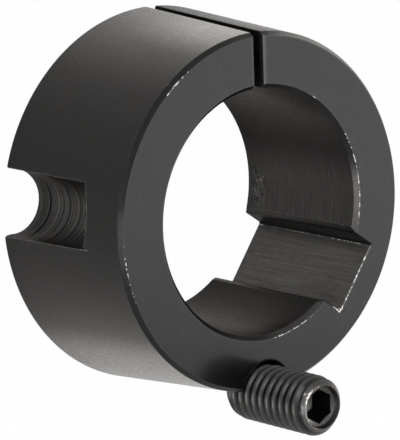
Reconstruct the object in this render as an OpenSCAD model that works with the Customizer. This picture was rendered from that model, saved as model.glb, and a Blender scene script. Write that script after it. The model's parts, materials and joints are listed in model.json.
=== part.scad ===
// Taper bush: a split steel sleeve that locks the tapered hub of a pulley or sprocket to a shaft.
// Millimetres. The origin is the middle of the bore on the large end, which stands on z = 0.
// +Z runs along the bore to the small end, and +Y points at the split.

/* [Tapered body] */
// Diameter of the large end
large_d = 69.85; // [66:0.05:78]
// Length of the body along the bore
body_len = 31.75; // [28:0.05:40]
// Slope of the outside, half of the taper's included angle
taper_deg = 4; // [2:0.1:5]
// Bevel round the small end, measured across the face
nose_bevel_w = 0.65; // [0.2:0.05:1.2]
// Bevel round the small end, measured along the bore
nose_bevel_h = 0.9; // [0.2:0.05:1.8]
// Bevel round the large end
heel_bevel = 0.4; // [0.1:0.05:1]

/* [Bore and keyway] */
// Diameter of the shaft that the bush grips
shaft_d = 45; // [38:0.5:47]
// How much wider the slack bore is than the shaft
bore_slack = 0.08; // [0.02:0.01:0.2]
// Bevel at the small end of the bore
bore_bevel = 0.8; // [0.2:0.05:1.2]
// Bevel at the large end of the bore
bore_back_bevel = 1.1; // [0.2:0.05:1.4]
// Width of the keyway
key_w = 14; // [8:0.1:16]
// Depth of the keyway beyond the bore, at its middle
key_depth = 4.1; // [2:0.1:4.6]
// Direction of the keyway, turned from +X
key_deg = -35; // [-42:0.5:-24]
// Radius at the two inner corners of the keyway
key_corner_r = 0.4; // [0.1:0.05:1]
// Bevel along the two edges where the keyway meets the bore, measured across the keyway
key_edge_bevel_w = 0.75; // [0.2:0.05:1.6]
// Bevel along the same two edges, measured towards the keyway's floor
key_edge_bevel_h = 1; // [0.2:0.05:1.6]

/* [Split] */
// Width of the saw cut through the wall
split_w = 2.3; // [0.8:0.05:4]
// Slant of the saw cut from the bore's axis, towards +X at the large end
split_lean_deg = 1.4; // [0:0.1:3]

/* [Screw holes] */
// How far each screw hole's axis lies inside the rim of the large end
hole_inset = 2.195; // [0.5:0.005:3]
// Diameter of the two plain half-holes
plain_d = 11.9; // [8:0.1:13]
// Depth of the plain half-holes from the large end, at their middle
plain_depth = 22.8; // [15:0.1:26]
// Radius of the domed blind end of the plain half-holes
plain_dome_r = 13.5; // [8:0.5:30]
// Outward lean of each side wall of the plain half-holes
plain_flare_deg = 11; // [0:0.5:20]
// How far the plain half-holes are turned from +X and -X towards the split
plain_deg = 5; // [-5:0.5:12]
// Diameter of the threaded half-hole over its thread
thread_d = 11.3; // [9:0.1:13]
// Width of the countersink at both mouths of the threaded half-hole
thread_sink = 0.1; // [0.05:0.05:0.8]

/* [Set screw] */
// Diameter of the set screw over its thread
screw_d = 10.9; // [8:0.1:11.2]
// Length of the set screw
screw_len = 22; // [16:0.1:30]
// Length of the set screw that is in the threaded half-hole
screw_engaged = 7.15; // [4:0.05:16]
// How far the screw's axis lies outside the half-hole's axis
screw_out = 0.7; // [0:0.05:0.8]
// Length of the bevel at the socket end
screw_head_bevel_h = 1.5; // [0.5:0.1:2.5]
// Diameter of the screw's face at the socket end
screw_face_d = 8.2; // [7:0.1:9]
// Length of the bevel at the point
screw_point_bevel_h = 2.2; // [0.5:0.1:3]
// Diameter of the screw's face at the point
screw_point_d = 8; // [6:0.1:9]
// Width of the hexagon socket across its flats
hex_af = 5.56; // [4:0.02:6]
// Depth of the hexagon socket from the screw's face
hex_depth = 6.1; // [3:0.1:8]
// Width of the flat ring outside the recessed mouth of the socket
hex_ring_w = 0.15; // [0.1:0.05:0.6]
// Width of the steep wall round the recessed mouth
mouth_wall_w = 0.35; // [0.1:0.05:0.6]
// Depth of the recessed mouth at the foot of its steep wall
mouth_depth = 0.95; // [0.4:0.05:1.6]
// Slope of the mouth's floor down to the hexagon
mouth_slope_deg = 14; // [2:1:30]
// Diameter of the cup in the screw's point
cup_d = 5.2; // [3:0.1:6]

/* [Hidden] */
$fn = 96;

over = 1;
large_r = large_d / 2;
hole_circle_r = large_r - hole_inset;
bore_r = (shaft_d + bore_slack) / 2;
thread_r = thread_d / 2;
plain_r = plain_d / 2;
screw_r = screw_d / 2;
socket_point_deg = 59;
cup_deg = 59;

// Radius of the taper at a height
function rim_r(z) = large_r - z * tan(taper_deg);

// Outline of the ring's wall, from the axis outwards, turned into the blank
module tapered_blank() {
    rotate_extrude()
        polygon([
            [bore_r + bore_back_bevel, 0],
            [large_r - heel_bevel, 0],
            [rim_r(heel_bevel), heel_bevel],
            [rim_r(body_len - nose_bevel_h), body_len - nose_bevel_h],
            [rim_r(body_len) - nose_bevel_w, body_len],
            [bore_r + bore_bevel, body_len],
            [bore_r, body_len - bore_bevel],
            [bore_r, bore_back_bevel]
        ]);
}

// Saw cut through one wall, centred on the small end and a little slanted, as the blade ran
module split_cut() {
    translate([0, 0, body_len])
        rotate([0, -split_lean_deg, 0])
            translate([-split_w / 2, 0, -body_len - 2 * over])
                cube([split_w, large_r + over, body_len + 4 * over]);
}

// Keyway section, open towards the bore's axis, with bevelled edges and small inner corner radii
module keyway_section() {
    floor_x = bore_r + key_depth;
    mouth_half = key_w / 2 + key_edge_bevel_w;
    mouth_x = sqrt(bore_r * bore_r - mouth_half * mouth_half);
    over_w = over * key_edge_bevel_w / key_edge_bevel_h;
    polygon([
        [mouth_x - over, -mouth_half - over_w],
        [mouth_x + key_edge_bevel_h, -key_w / 2],
        [mouth_x + key_edge_bevel_h, key_w / 2],
        [mouth_x - over, mouth_half + over_w]
    ]);
    translate([0, -key_w / 2])
        square([floor_x - key_corner_r, key_w]);
    translate([0, -key_w / 2 + key_corner_r])
        square([floor_x, key_w - 2 * key_corner_r]);
    for (side = [-1, 1])
        translate([floor_x - key_corner_r, side * (key_w / 2 - key_corner_r)])
            circle(r = key_corner_r);
}

module keyway_cut() {
    rotate([0, 0, key_deg])
        translate([0, 0, -over])
            linear_extrude(body_len + 2 * over)
                keyway_section();
}

// Section of a plain half-hole: round at the back, with side walls that lean outwards
module plain_section() {
    reach = large_r - hole_circle_r + over;
    spread = reach * tan(plain_flare_deg);
    circle(r = plain_r);
    polygon([
        [0, -plain_r],
        [reach, -plain_r - spread],
        [reach, plain_r + spread],
        [0, plain_r]
    ]);
}

// Blind half-hole from the large end, ending in a shallow dome
module plain_half_hole() {
    translate([hole_circle_r, 0, 0])
        intersection() {
            translate([0, 0, -over])
                linear_extrude(plain_depth + 2 * over)
                    plain_section();
            union() {
                translate([0, 0, plain_depth - plain_dome_r])
                    sphere(r = plain_dome_r);
                translate([-large_r, -large_r, -2 * over])
                    cube([2 * large_r, 2 * large_r, plain_depth - plain_dome_r + 2 * over]);
            }
        }
}

// Half-hole right through the body, opposite the split, countersunk at both mouths
module threaded_half_hole() {
    translate([0, -hole_circle_r, 0]) {
        translate([0, 0, -over])
            cylinder(h = body_len + 2 * over, r = thread_r);
        for (end = [0, 1])
            translate([0, 0, end * body_len])
                mirror([0, 0, end])
                    translate([0, 0, -over])
                        cylinder(h = over + thread_sink, r1 = thread_r + thread_sink + over, r2 = thread_r);
    }
}

module split_bush() {
    color("#3a3a3b")
        difference() {
            tapered_blank();
            split_cut();
            keyway_cut();
            rotate([0, 0, plain_deg])
                plain_half_hole();
            rotate([0, 0, 180 - plain_deg])
                plain_half_hole();
            threaded_half_hole();
        }
}

// Screw blank with a bevel at each end, standing on its point
module screw_blank() {
    rotate_extrude()
        polygon([
            [0, 0],
            [screw_point_d / 2, 0],
            [screw_r, screw_point_bevel_h],
            [screw_r, screw_len - screw_head_bevel_h],
            [screw_face_d / 2, screw_len],
            [0, screw_len]
        ]);
}

// Hexagon socket: a recessed mouth with a steep wall and a sloping floor, six walls and a drilled end
module hex_socket_cut() {
    corner_r = hex_af / 2 / cos(30);
    mouth_r = screw_face_d / 2 - hex_ring_w;
    floor_r = mouth_r - mouth_wall_w;
    floor_drop = (floor_r - hex_af / 2) * tan(mouth_slope_deg);
    translate([0, 0, screw_len - hex_depth])
        rotate([0, 0, 30])
            cylinder(h = hex_depth + over, r = corner_r, $fn = 6);
    translate([0, 0, screw_len - mouth_depth])
        cylinder(h = mouth_depth + over, r1 = floor_r, r2 = mouth_r + over * mouth_wall_w / mouth_depth);
    translate([0, 0, screw_len - mouth_depth - floor_drop])
        cylinder(h = floor_drop, r1 = hex_af / 2, r2 = floor_r);
    point_h = hex_af / 2 / tan(socket_point_deg);
    translate([0, 0, screw_len - hex_depth - point_h])
        cylinder(h = point_h, r1 = 0, r2 = hex_af / 2);
}

// Shallow cup in the point
module cup_cut() {
    cup_h = cup_d / 2 / tan(cup_deg);
    translate([0, 0, -over])
        cylinder(h = over + cup_h, r1 = cup_d / 2 + over * tan(cup_deg), r2 = 0);
}

module set_screw() {
    color("#454443")
        translate([0, -hole_circle_r - screw_out, body_len - screw_engaged])
            difference() {
                screw_blank();
                hex_socket_cut();
                cup_cut();
            }
}

split_bush();
set_screw();
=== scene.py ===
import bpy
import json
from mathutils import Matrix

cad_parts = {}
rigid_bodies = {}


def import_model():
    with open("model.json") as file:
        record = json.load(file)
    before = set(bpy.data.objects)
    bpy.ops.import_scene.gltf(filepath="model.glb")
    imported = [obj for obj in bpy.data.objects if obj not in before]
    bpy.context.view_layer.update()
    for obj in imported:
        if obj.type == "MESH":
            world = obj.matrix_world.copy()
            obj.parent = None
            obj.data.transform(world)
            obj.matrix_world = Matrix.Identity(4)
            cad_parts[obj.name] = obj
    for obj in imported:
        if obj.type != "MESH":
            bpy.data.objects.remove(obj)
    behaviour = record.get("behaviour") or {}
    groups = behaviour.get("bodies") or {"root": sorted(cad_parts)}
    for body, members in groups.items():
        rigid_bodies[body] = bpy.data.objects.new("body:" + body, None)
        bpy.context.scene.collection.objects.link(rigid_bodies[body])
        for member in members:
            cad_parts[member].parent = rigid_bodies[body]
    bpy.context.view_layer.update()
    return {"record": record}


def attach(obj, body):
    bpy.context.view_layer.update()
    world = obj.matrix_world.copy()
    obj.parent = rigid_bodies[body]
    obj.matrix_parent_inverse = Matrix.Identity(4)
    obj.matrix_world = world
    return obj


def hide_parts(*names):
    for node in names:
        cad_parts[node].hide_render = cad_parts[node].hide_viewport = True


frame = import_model()

# %% [markdown]
# ## Sizes
# The record lists the places where other parts fit: the taper, the bore and the screw holes.
# Their radii and lengths are read from there in millimetres, and the few that it has no key for are
# written once below. Meshes are built in millimetres and scaled to metres in one place.
# %% Sizes of the bush
import json
import random
from math import acos, asin, atan2, cos, degrees, exp, hypot, pi, radians, remainder, sin, sqrt, tan
from types import SimpleNamespace

import bmesh
import bpy
from mathutils import Matrix, Vector

MM = 0.001
mounts = {mount["name"]: mount for mount in frame["record"]["mounts"]}


def dim(mount, key):
    """A size of a mount in millimetres."""
    return mounts[mount]["dims"][key]


large_r = dim("taper_seat", "r_mm")
body_len = dim("taper_seat", "length_mm")
bore_r = dim("shaft_bore", "r_mm")
plain_r = dim("plain_half_hole_left", "r_mm")
plain_depth = dim("plain_half_hole_left", "length_mm")
tapped_r = dim("jacking_half_hole", "r_mm")
hex_depth = dim("screw_socket", "length_mm")
hole_circle_r = -mounts["jacking_half_hole"]["pos_m"][1] / MM
screw_y = mounts["screw_socket"]["pos_m"][1] / MM
screw_top = mounts["screw_socket"]["pos_m"][2] / MM

key_x, key_y, _ = mounts["shaft_keyway"]["pos_m"]
key_floor = hypot(key_x, key_y) / MM
key_deg = degrees(atan2(key_y, key_x))

slope = tan(radians(4))
split_half = 1.15
split_lean = tan(radians(1.4))
key_half = 7.0
key_corner_r = 0.4
key_edge_w = 0.75
key_edge_h = 1.0
plain_dome_r = 13.5
plain_flare = tan(radians(11))
plain_right_deg = 5.0
plain_left_deg = 175.0
tapped_deg = 270.0
print("large end", 2 * large_r, "mm across,", body_len, "mm long, bore", 2 * bore_r, "mm")

# %% [markdown]
# ## One row of the bush
# Cut the bush square to its bore at any height and the section is one closed loop: round the taper,
# in and out of each half-hole, down the saw cut, round the bore and its keyway, and back up the cut.
# The whole body is such loops stacked up. Each surface keeps its own number of points, so the
# loops join into quads, and each may grow near the two ends, which makes the bevels.
# %% Where each surface is bevelled
# Height and width of the bevel at the large end, then at the small end
BEVELS = {
    "taper": ((0.4, 0.4), (0.9, 0.65)),
    "bore": ((1.1, 1.1), (0.8, 0.8)),
    "keyway": ((0.12, 0.12), (0.12, 0.12)),
    "split left": ((0.12, 0.12), (0.12, 0.3)),
    "split right": ((0.12, 0.12), (0.2, 0.6)),
    "plain": ((0.15, 0.15), (0.12, 0.12)),
    "tapped": ((0.1, 0.1), (0.1, 0.1)),
}


def bevel(surface, z):
    """How far a surface is cut back at a height."""
    (low_h, low_w), (high_h, high_w) = BEVELS[surface]
    if z < low_h:
        return low_w * (1 - z / low_h)
    if z > body_len - high_h:
        return high_w * (z - body_len + high_h) / high_h
    return 0.0


def taper_radius(z, inset=0.0):
    return large_r - z * slope - bevel("taper", z) - inset


def turned(direction_deg, u, v):
    """A point u outwards and v anticlockwise from the bore's axis, seen along a direction."""
    angle = radians(direction_deg)
    x = u * cos(angle) - v * sin(angle)
    y = u * sin(angle) + v * cos(angle)
    return x, y


print("radius at the small end's face:", round(taper_radius(body_len), 3), "mm")

# %% [markdown]
# ## The plain half-holes
# They were drilled from the large end, half in the bush and half in its hub, and stop in a shallow
# dome. The drill left rings: crests and hollows take turns, and two rings are much deeper. The depths
# come from a seeded random source, so each run draws the same ones. The rings fade out towards the
# side walls, sooner on one side.
# %% Outline of a plain half-hole
RING_SEED = 12
RING_STEP = 0.27
RING_COUNT = 90
CREST_DEPTHS = (0.0, 0.05)
HOLLOW_DEPTHS = (0.04, 0.13)
DEEP_RINGS = {14: 0.2, 36: 0.2}
# Where the rings start, as a share of the way round, and the shares over which they rise and fall
RING_START = 0.18
RING_RISE = 0.25
RING_FALL = 0.12
ring_source = random.Random(RING_SEED)
ring_depths = []
for k in range(RING_COUNT):
    depth = ring_source.uniform(*(HOLLOW_DEPTHS if k % 2 else CREST_DEPTHS))
    ring_depths.append(depth + DEEP_RINGS.get(k, 0.0))
PLAIN_ARC = 24
PLAIN_WALL = 3
PLAIN_POINTS = PLAIN_ARC + 2 * PLAIN_WALL


def full_ring_depth(z):
    place = max(0.0, z / RING_STEP)
    low = min(int(place), RING_COUNT - 2)
    blend = place - low
    return ring_depths[low] * (1 - blend) + ring_depths[low + 1] * blend


def ring_fade(share):
    """How much of a ring there is, for a share from 0 to 1 round the half-hole."""
    return max(0.0, min(1.0, (share - RING_START) / RING_RISE, (1 - share) / RING_FALL))


def plain_corner(outer_r, radius):
    """Where the side wall of a plain half-hole meets the taper, outwards and sideways from its axis."""
    reach = hole_circle_r + radius * plain_flare
    steep = 1 + plain_flare ** 2
    short = hole_circle_r ** 2 + radius ** 2 - outer_r ** 2
    u = (sqrt(reach ** 2 - steep * short) - reach) / steep
    return u, radius + u * plain_flare


def dome_height(u, v):
    """Height of the domed blind end above a point measured from the half-hole's axis."""
    return plain_depth - plain_dome_r + sqrt(plain_dome_r ** 2 - u ** 2 - v ** 2)


def plain_outline(z, outer_r, grow):
    """Points from one corner of the half-hole, round its back, nearly to the other corner."""
    radius = plain_r + grow
    corner_u, _ = plain_corner(outer_r, radius)
    points = []
    for k in range(PLAIN_WALL):
        u = corner_u * (1 - k / PLAIN_WALL)
        points.append((u, -(radius + u * plain_flare)))
    for k in range(PLAIN_ARC):
        share = k / PLAIN_ARC
        angle = radians(-90 - 180 * share)
        r = radius + full_ring_depth(z) * ring_fade(share)
        points.append((r * cos(angle), r * sin(angle)))
    for k in range(PLAIN_WALL):
        u = corner_u * k / PLAIN_WALL
        points.append((u, radius + u * plain_flare))
    return points


print("plain half-hole:", PLAIN_POINTS, "points a row, rings up to", round(max(ring_depths), 2), "mm deep")

# %% [markdown]
# ## Rows at the blind end
# Where a plain half-hole ends, its points leave the back wall, cross the dome and reach the taper.
# A few rows do this while all other surfaces go straight up. The crossing runs from 0 at the wall
# to 1 at the taper, and one more row just above keeps the worn edge of the hole narrow.
# %% Points of a plain half-hole at any row
# Distance over which the wear of an edge falls to nothing
EDGE = 0.22
BLIND_MARGIN = 0.05
BLIND_LOW = dome_height(0.0, plain_r) - BLIND_MARGIN
BLIND_HIGH = plain_depth + BLIND_MARGIN
# Value of a row's blind key that means just above the crossing
JUST_ABOVE = 2.0
# The radius depends on the height and the height on the radius, so a few passes settle both
SETTLE_PASSES = 3


def closed_outline(at_height=None, lift=0.0, inset=0.0):
    """Points on the taper that close the half-hole, at their own heights or at a given one."""
    corner_u, corner_v = plain_corner(taper_radius(BLIND_LOW), plain_r)
    spread = degrees(atan2(corner_v, hole_circle_r + corner_u))
    points = []
    for k in range(PLAIN_POINTS):
        angle = radians(spread * (2 * k / PLAIN_POINTS - 1))
        z = BLIND_LOW if at_height is None else at_height
        for _ in range(SETTLE_PASSES):
            outer_r = taper_radius(z, inset)
            u = outer_r * cos(angle) - hole_circle_r
            v = outer_r * sin(angle)
            if at_height is None:
                z = dome_height(u, v) + lift
        points.append((u, v, z))
    return points


def plain_points(row, direction_deg):
    """The half-hole's points in one row: (x, y, z, how much of an edge it is)."""
    if row.blind is None and row.z < BLIND_LOW:
        grow = bevel("plain", row.z) + row.inset
        flat = plain_outline(row.z, taper_radius(row.z, row.inset), grow)
        shaped = [(u, v, row.z, 0.0) for u, v in flat]
    elif row.blind is None:
        shaped = [(u, v, z, 0.0) for u, v, z in closed_outline(row.z, inset=row.inset)]
    elif row.blind == JUST_ABOVE:
        shaped = [(u, v, z, 0.0) for u, v, z in closed_outline(lift=EDGE)]
    else:
        deep = plain_outline(BLIND_LOW, taper_radius(BLIND_LOW), 0.0)
        share = row.blind
        shaped = []
        for (deep_u, deep_v), (top_u, top_v, top_z) in zip(deep, closed_outline()):
            u = deep_u + (top_u - deep_u) * share
            v = deep_v + (top_v - deep_v) * share
            shaped.append((u, v, dome_height(u, v), 1.0 if share == 1 else 0.0))
    return [(*turned(direction_deg, hole_circle_r + u, v), z, edge) for u, v, z, edge in shaped]


print("blind end between", round(BLIND_LOW, 2), "and", round(BLIND_HIGH, 2), "mm")

# %% [markdown]
# ## The tapped half-hole, the arcs and the saw cut
# The tapped half-hole is an arc of a circle, the taper and the bore are arcs about the bore's axis,
# and the saw cut has two flat walls. Each function gives one run of the loop, from its first corner
# up to, but not with, the first corner of the next run.
# %% Outlines of the tapped half-hole, the arcs and the saw cut
TAPPED_POINTS = 54
SPLIT_POINTS = 8
TAPER_STEP_DEG = 1.9
BORE_STEP_DEG = 2.4


def tapped_corner_deg(outer_r, radius):
    """Angle between straight outwards and the tapped half-hole's corner, about its own axis."""
    across = (outer_r ** 2 - hole_circle_r ** 2 - radius ** 2) / (2 * hole_circle_r * radius)
    return degrees(acos(across))


def tapped_points(row):
    radius = tapped_r + bevel("tapped", row.z) + row.inset
    corner = tapped_corner_deg(taper_radius(row.z, row.inset), radius)
    made = []
    for k in range(TAPPED_POINTS):
        angle = radians(-corner - (360 - 2 * corner) * k / TAPPED_POINTS)
        u = hole_circle_r + radius * cos(angle)
        made.append((*turned(tapped_deg, u, radius * sin(angle)), row.z, 0.0))
    return made


def arc_points(row, run, radius, start_deg, end_deg):
    """Points from one angle to another about the bore, the last one left out."""
    step_deg = BORE_STEP_DEG if "bore" in run else TAPER_STEP_DEG
    count = row.counts.setdefault(run, max(2, round(abs(end_deg - start_deg) / step_deg)))
    made = []
    for k in range(count):
        angle = start_deg + (end_deg - start_deg) * k / count
        made.append((*turned(angle, radius, 0.0), row.z, 0.0))
    return made


def split_points(row, x, start_r, end_r):
    """Points along one wall of the saw cut between two radii."""
    start = sqrt(start_r ** 2 - x ** 2)
    end = sqrt(end_r ** 2 - x ** 2)
    made = []
    for k in range(SPLIT_POINTS):
        made.append((x, start + (end - start) * k / SPLIT_POINTS, row.z, 0.0))
    return made


print("tapped half-hole:", TAPPED_POINTS, "points a row, each wall of the saw cut:", SPLIT_POINTS)

# %% [markdown]
# ## The keyway
# The keyway has a bevelled edge, a wall and a small corner radius on each side of its flat floor.
# One side is worked out and mirrored for the other.
# %% Outline of the keyway
KEY_BEVEL_POINTS = 3
KEY_WALL_POINTS = 5
KEY_FILLET_POINTS = 4
KEY_FLOOR_POINTS = 12
# How marked an edge the keyway's floor has at its corners, and how wide
KEY_CORNER_EDGE = 0.75
KEY_CORNER_WIDTH = 0.2
KEY_LEAST_BEVEL = 0.2
# Two places nearer than this count as one
ON_SURFACE = 0.01


def keyway_mouth(half, radius):
    """Where the keyway's bevelled edge starts on the bore, and how far out the bevel meets the wall."""
    mouth_half = key_half + key_edge_w
    steep = key_edge_h / key_edge_w
    reach = sqrt(bore_r ** 2 - mouth_half ** 2) + mouth_half * steep
    square = 1 + steep ** 2
    mouth_v = (reach * steep - sqrt(square * radius ** 2 - reach ** 2)) / square
    if mouth_v > half:
        return (reach - steep * mouth_v, mouth_v), reach - half * steep
    start_u = sqrt(radius ** 2 - half ** 2)
    return (start_u, half), start_u + KEY_LEAST_BEVEL


def keyway_side(half, radius, floor):
    """Points from the keyway's mouth down one wall and round the corner to the floor."""
    (mouth_u, mouth_v), start = keyway_mouth(half, radius)
    wall_end = floor - key_corner_r
    points = []
    for k in range(KEY_BEVEL_POINTS):
        share = k / KEY_BEVEL_POINTS
        points.append((mouth_u + (start - mouth_u) * share, mouth_v + (half - mouth_v) * share))
    for k in range(KEY_WALL_POINTS):
        points.append((start + (wall_end - start) * k / KEY_WALL_POINTS, half))
    for k in range(KEY_FILLET_POINTS + 1):
        angle = radians(90 - 90 * k / KEY_FILLET_POINTS)
        v = half - key_corner_r + key_corner_r * sin(angle)
        points.append((wall_end + key_corner_r * cos(angle), v))
    return points


def keyway_points(row, radius):
    grow = bevel("keyway", row.z) + row.inset
    floor = key_floor + grow
    wall = keyway_side(key_half + grow, radius, floor)
    corner_v = wall[-1][1]
    flat_end = corner_v - KEY_CORNER_WIDTH
    flat = []
    for k in range(KEY_FLOOR_POINTS):
        flat.append((floor, flat_end * (1 - 2 * k / (KEY_FLOOR_POINTS - 1))))
    other_wall = [(u, -v) for u, v in reversed(wall)]
    made = []
    for u, v in wall + flat + other_wall[:-1]:
        at_corner = u > floor - ON_SURFACE and abs(v) > corner_v - ON_SURFACE
        made.append((*turned(key_deg, u, v), row.z, KEY_CORNER_EDGE if at_corner else 0.0))
    return made


print("keyway:", len(keyway_points(SimpleNamespace(z=10.0, inset=0.0), bore_r)), "points a row")

# %% [markdown]
# ## Edges and corners
# A machined corner is never quite sharp, and its narrow flat is what catches the light. The value
# called edge is 1 where a surface has such a corner and falls to 0 beside it. The value called
# groove says how deep the thread may be cut.
# %% Edges and corners
CORNER_FLAT = 0.07
CORNER_FADE = 0.15
LIP_EASE = 0.4
LIP_HEIGHT = 1.1
THREAD_DEPTH = 0.9
# How far inside each face the thread starts, and the distance over which it reaches its full depth
THREAD_MARGIN = 0.05
THREAD_RISE = 0.25
# Heights at which each surface has an edge of its own, and how marked that edge is
EDGE_MARKS = {
    "taper": ((0.0, 1.0), (0.4, 0.4), (body_len - 0.9, 0.45), (body_len, 1.0)),
    "bore": ((0.0, 1.0), (1.1, 0.5), (body_len - 0.8, 0.5), (body_len, 1.0)),
    "tapped": ((0.0, 1.0), (body_len, 1.0)),
    "keyway": ((0.0, 1.0), (body_len, 1.0)),
    "split left": ((0.0, 1.0), (body_len, 1.0)),
    "split right": ((0.0, 1.0), (body_len - 0.2, 0.7), (body_len, 1.0)),
    "plain": ((0.0, 1.0),),
}


def edge_at(surface, z):
    return max(strength * max(0.0, 1 - abs(z - mark) / EDGE) for mark, strength in EDGE_MARKS[surface])


def groove_at(surface, z):
    """Depth of the thread that is cut into the tapped half-hole, less at its countersunk mouths."""
    if surface != "tapped":
        return 0.0
    from_face = min(z, body_len - z) - THREAD_MARGIN
    return THREAD_DEPTH * max(0.0, min(1.0, from_face / THREAD_RISE))


def toward(point, other, distance, most):
    """A place on the way from one point to another, no further than a share of the way."""
    start = Vector(point[:3])
    step = Vector(other[:3]) - start
    return start + step.normalized() * min(distance, most * step.length)


def corner_flat(z, first, second):
    """Width of the flat at a corner: wider where a half-hole's lips were eased at the large end."""
    if {first, second} != {"taper", "plain"}:
        return CORNER_FLAT
    return CORNER_FLAT + LIP_EASE * max(0.0, 1 - z / LIP_HEIGHT) ** 2


print("corners are", CORNER_FLAT, "mm wide, and the thread is", THREAD_DEPTH, "mm deep")

# %% [markdown]
# ## From runs to a loop
# The runs of a row follow one another round the section. Each corner where two of them meet becomes
# four points: two bound its narrow flat, and two a little way off end the worn stretch.
# %% Build one loop
def bush_loop(row):
    """One closed loop as (place, surface, edge, groove), anticlockwise seen from the small end."""
    z = row.z
    inset = row.inset
    outer = taper_radius(z, inset)
    inner = bore_r + bevel("bore", z) + inset
    shift = (body_len - z) * split_lean
    left = split_half + bevel("split left", z) + inset - shift
    right = split_half + bevel("split right", z) + inset + shift
    (mouth_u, mouth_v), _ = keyway_mouth(key_half + bevel("keyway", z) + inset, inner)
    open_z = min(z, BLIND_LOW)
    open_grow = bevel("plain", open_z) + (inset if z < BLIND_LOW else 0.0)
    plain_u, plain_v = plain_corner(taper_radius(open_z, inset), plain_r + open_grow)
    plain_spread = degrees(atan2(plain_v, hole_circle_r + plain_u))
    tapped_radius = tapped_r + bevel("tapped", z) + inset
    corner = radians(tapped_corner_deg(outer, tapped_radius))
    tapped_reach = hole_circle_r + tapped_radius * cos(corner)
    tapped_spread = degrees(atan2(tapped_radius * sin(corner), tapped_reach))
    left_outer_deg = 90 + degrees(asin(left / outer))
    right_outer_deg = 450 - degrees(asin(right / outer))
    right_bore_deg = 90 - degrees(asin(right / inner))
    left_bore_deg = degrees(asin(left / inner)) - 270
    key_spread = degrees(atan2(mouth_v, mouth_u))
    right_deg = 360 + plain_right_deg
    plain = "taper" if row.closed else "plain"
    taper_ends = (
        (left_outer_deg, plain_left_deg - plain_spread),
        (plain_left_deg + plain_spread, tapped_deg - tapped_spread),
        (tapped_deg + tapped_spread, right_deg - plain_spread),
        (right_deg + plain_spread, right_outer_deg),
    )
    taper = [("taper", arc_points(row, f"taper {k}", outer, *ends)) for k, ends in enumerate(taper_ends)]
    runs = [
        taper[0],
        (plain, plain_points(row, plain_left_deg)),
        taper[1],
        ("tapped", tapped_points(row)),
        taper[2],
        (plain, plain_points(row, plain_right_deg)),
        taper[3],
        ("split right", split_points(row, right, outer, inner)),
        ("bore", arc_points(row, "bore 1", inner, right_bore_deg, key_deg + key_spread)),
        ("keyway", keyway_points(row, inner)),
        ("bore", arc_points(row, "bore 2", inner, key_deg - key_spread, left_bore_deg)),
        ("split left", split_points(row, -left, inner, outer)),
    ]
    loop = []
    for k, (surface, points) in enumerate(runs):
        last_surface, last_points = runs[k - 1]
        corner_point = points[0]
        is_edge = 0.0 if surface == last_surface else 1.0
        flat = corner_flat(z, surface, last_surface)
        for name, other, distance, most, edge in (
            (last_surface, last_points[-1], flat + CORNER_FADE, 0.6, 0.0),
            (last_surface, last_points[-1], flat, 0.4, is_edge),
            (surface, points[1], flat, 0.4, is_edge),
            (surface, points[1], flat + CORNER_FADE, 0.6, 0.0),
        ):
            place = toward(corner_point, other, distance, most)
            loop.append((place, name, edge, groove_at(name, z)))
        for x, y, height, edge in points[1:]:
            loop.append((Vector((x, y, height)), surface, edge, groove_at(surface, z)))
    if inset > 0:
        return [(place, surface, 0.0, 0.0) for place, surface, _, _ in loop]
    marked = []
    for place, surface, edge, groove in loop:
        marked.append((place, surface, max(edge, edge_at(surface, z)), groove))
    return marked


trial_row = SimpleNamespace(z=10.0, inset=0.0, blind=None, closed=False, counts={})
print("one loop:", len(bush_loop(trial_row)), "points")

# %% [markdown]
# ## Heights of the rows
# Rows lie about 0.2 mm apart, close enough for the thread and the drilling rings. More are added on
# both sides of each bevel's edge, and the blind end gets its crossing rows.
# %% List the rows
ROW_STEP = 0.2
FACE_INSET = 0.25
BLIND_SHARES = (0.0, 0.35, 0.7, 0.93, 1.0)
# Room left below and above the crossing rows, and the height of the row just above them
CLEAR_BELOW = 0.04
CLEAR_ABOVE = 0.2
ABOVE_STEP = 0.1
arc_counts = {}


def make_row(z, inset=0.0, blind=None, closed=False):
    return SimpleNamespace(z=z, inset=inset, blind=blind, closed=closed, counts=arc_counts)


heights = set()
for marks in EDGE_MARKS.values():
    for mark, _ in marks:
        for z in (mark - EDGE, mark, mark + EDGE):
            if 0 <= z <= body_len:
                heights.add(round(z, 3))
for (low_h, _), (high_h, _) in BEVELS.values():
    heights.add(round(low_h, 3))
    heights.add(round(body_len - high_h, 3))
steps = round(body_len / ROW_STEP)
for k in range(steps + 1):
    z = body_len * k / steps
    if min(abs(z - other) for other in heights) > 0.5 * ROW_STEP:
        heights.add(round(z, 3))
side_rows = []
for z in sorted(heights):
    if z < BLIND_LOW - CLEAR_BELOW or z > BLIND_HIGH + CLEAR_ABOVE:
        side_rows.append(make_row(z, closed=z > BLIND_HIGH))
for share in BLIND_SHARES:
    side_rows.append(make_row(BLIND_LOW + (BLIND_HIGH - BLIND_LOW) * share, blind=share))
side_rows.append(make_row(BLIND_HIGH + ABOVE_STEP, blind=JUST_ABOVE, closed=True))
side_rows.sort(key=lambda row: row.z)
large_face = make_row(0.0, inset=FACE_INSET)
small_face = make_row(body_len, inset=FACE_INSET, closed=True)
bush_rows = [large_face, *side_rows, small_face]
print(len(bush_rows), "rows")

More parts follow.
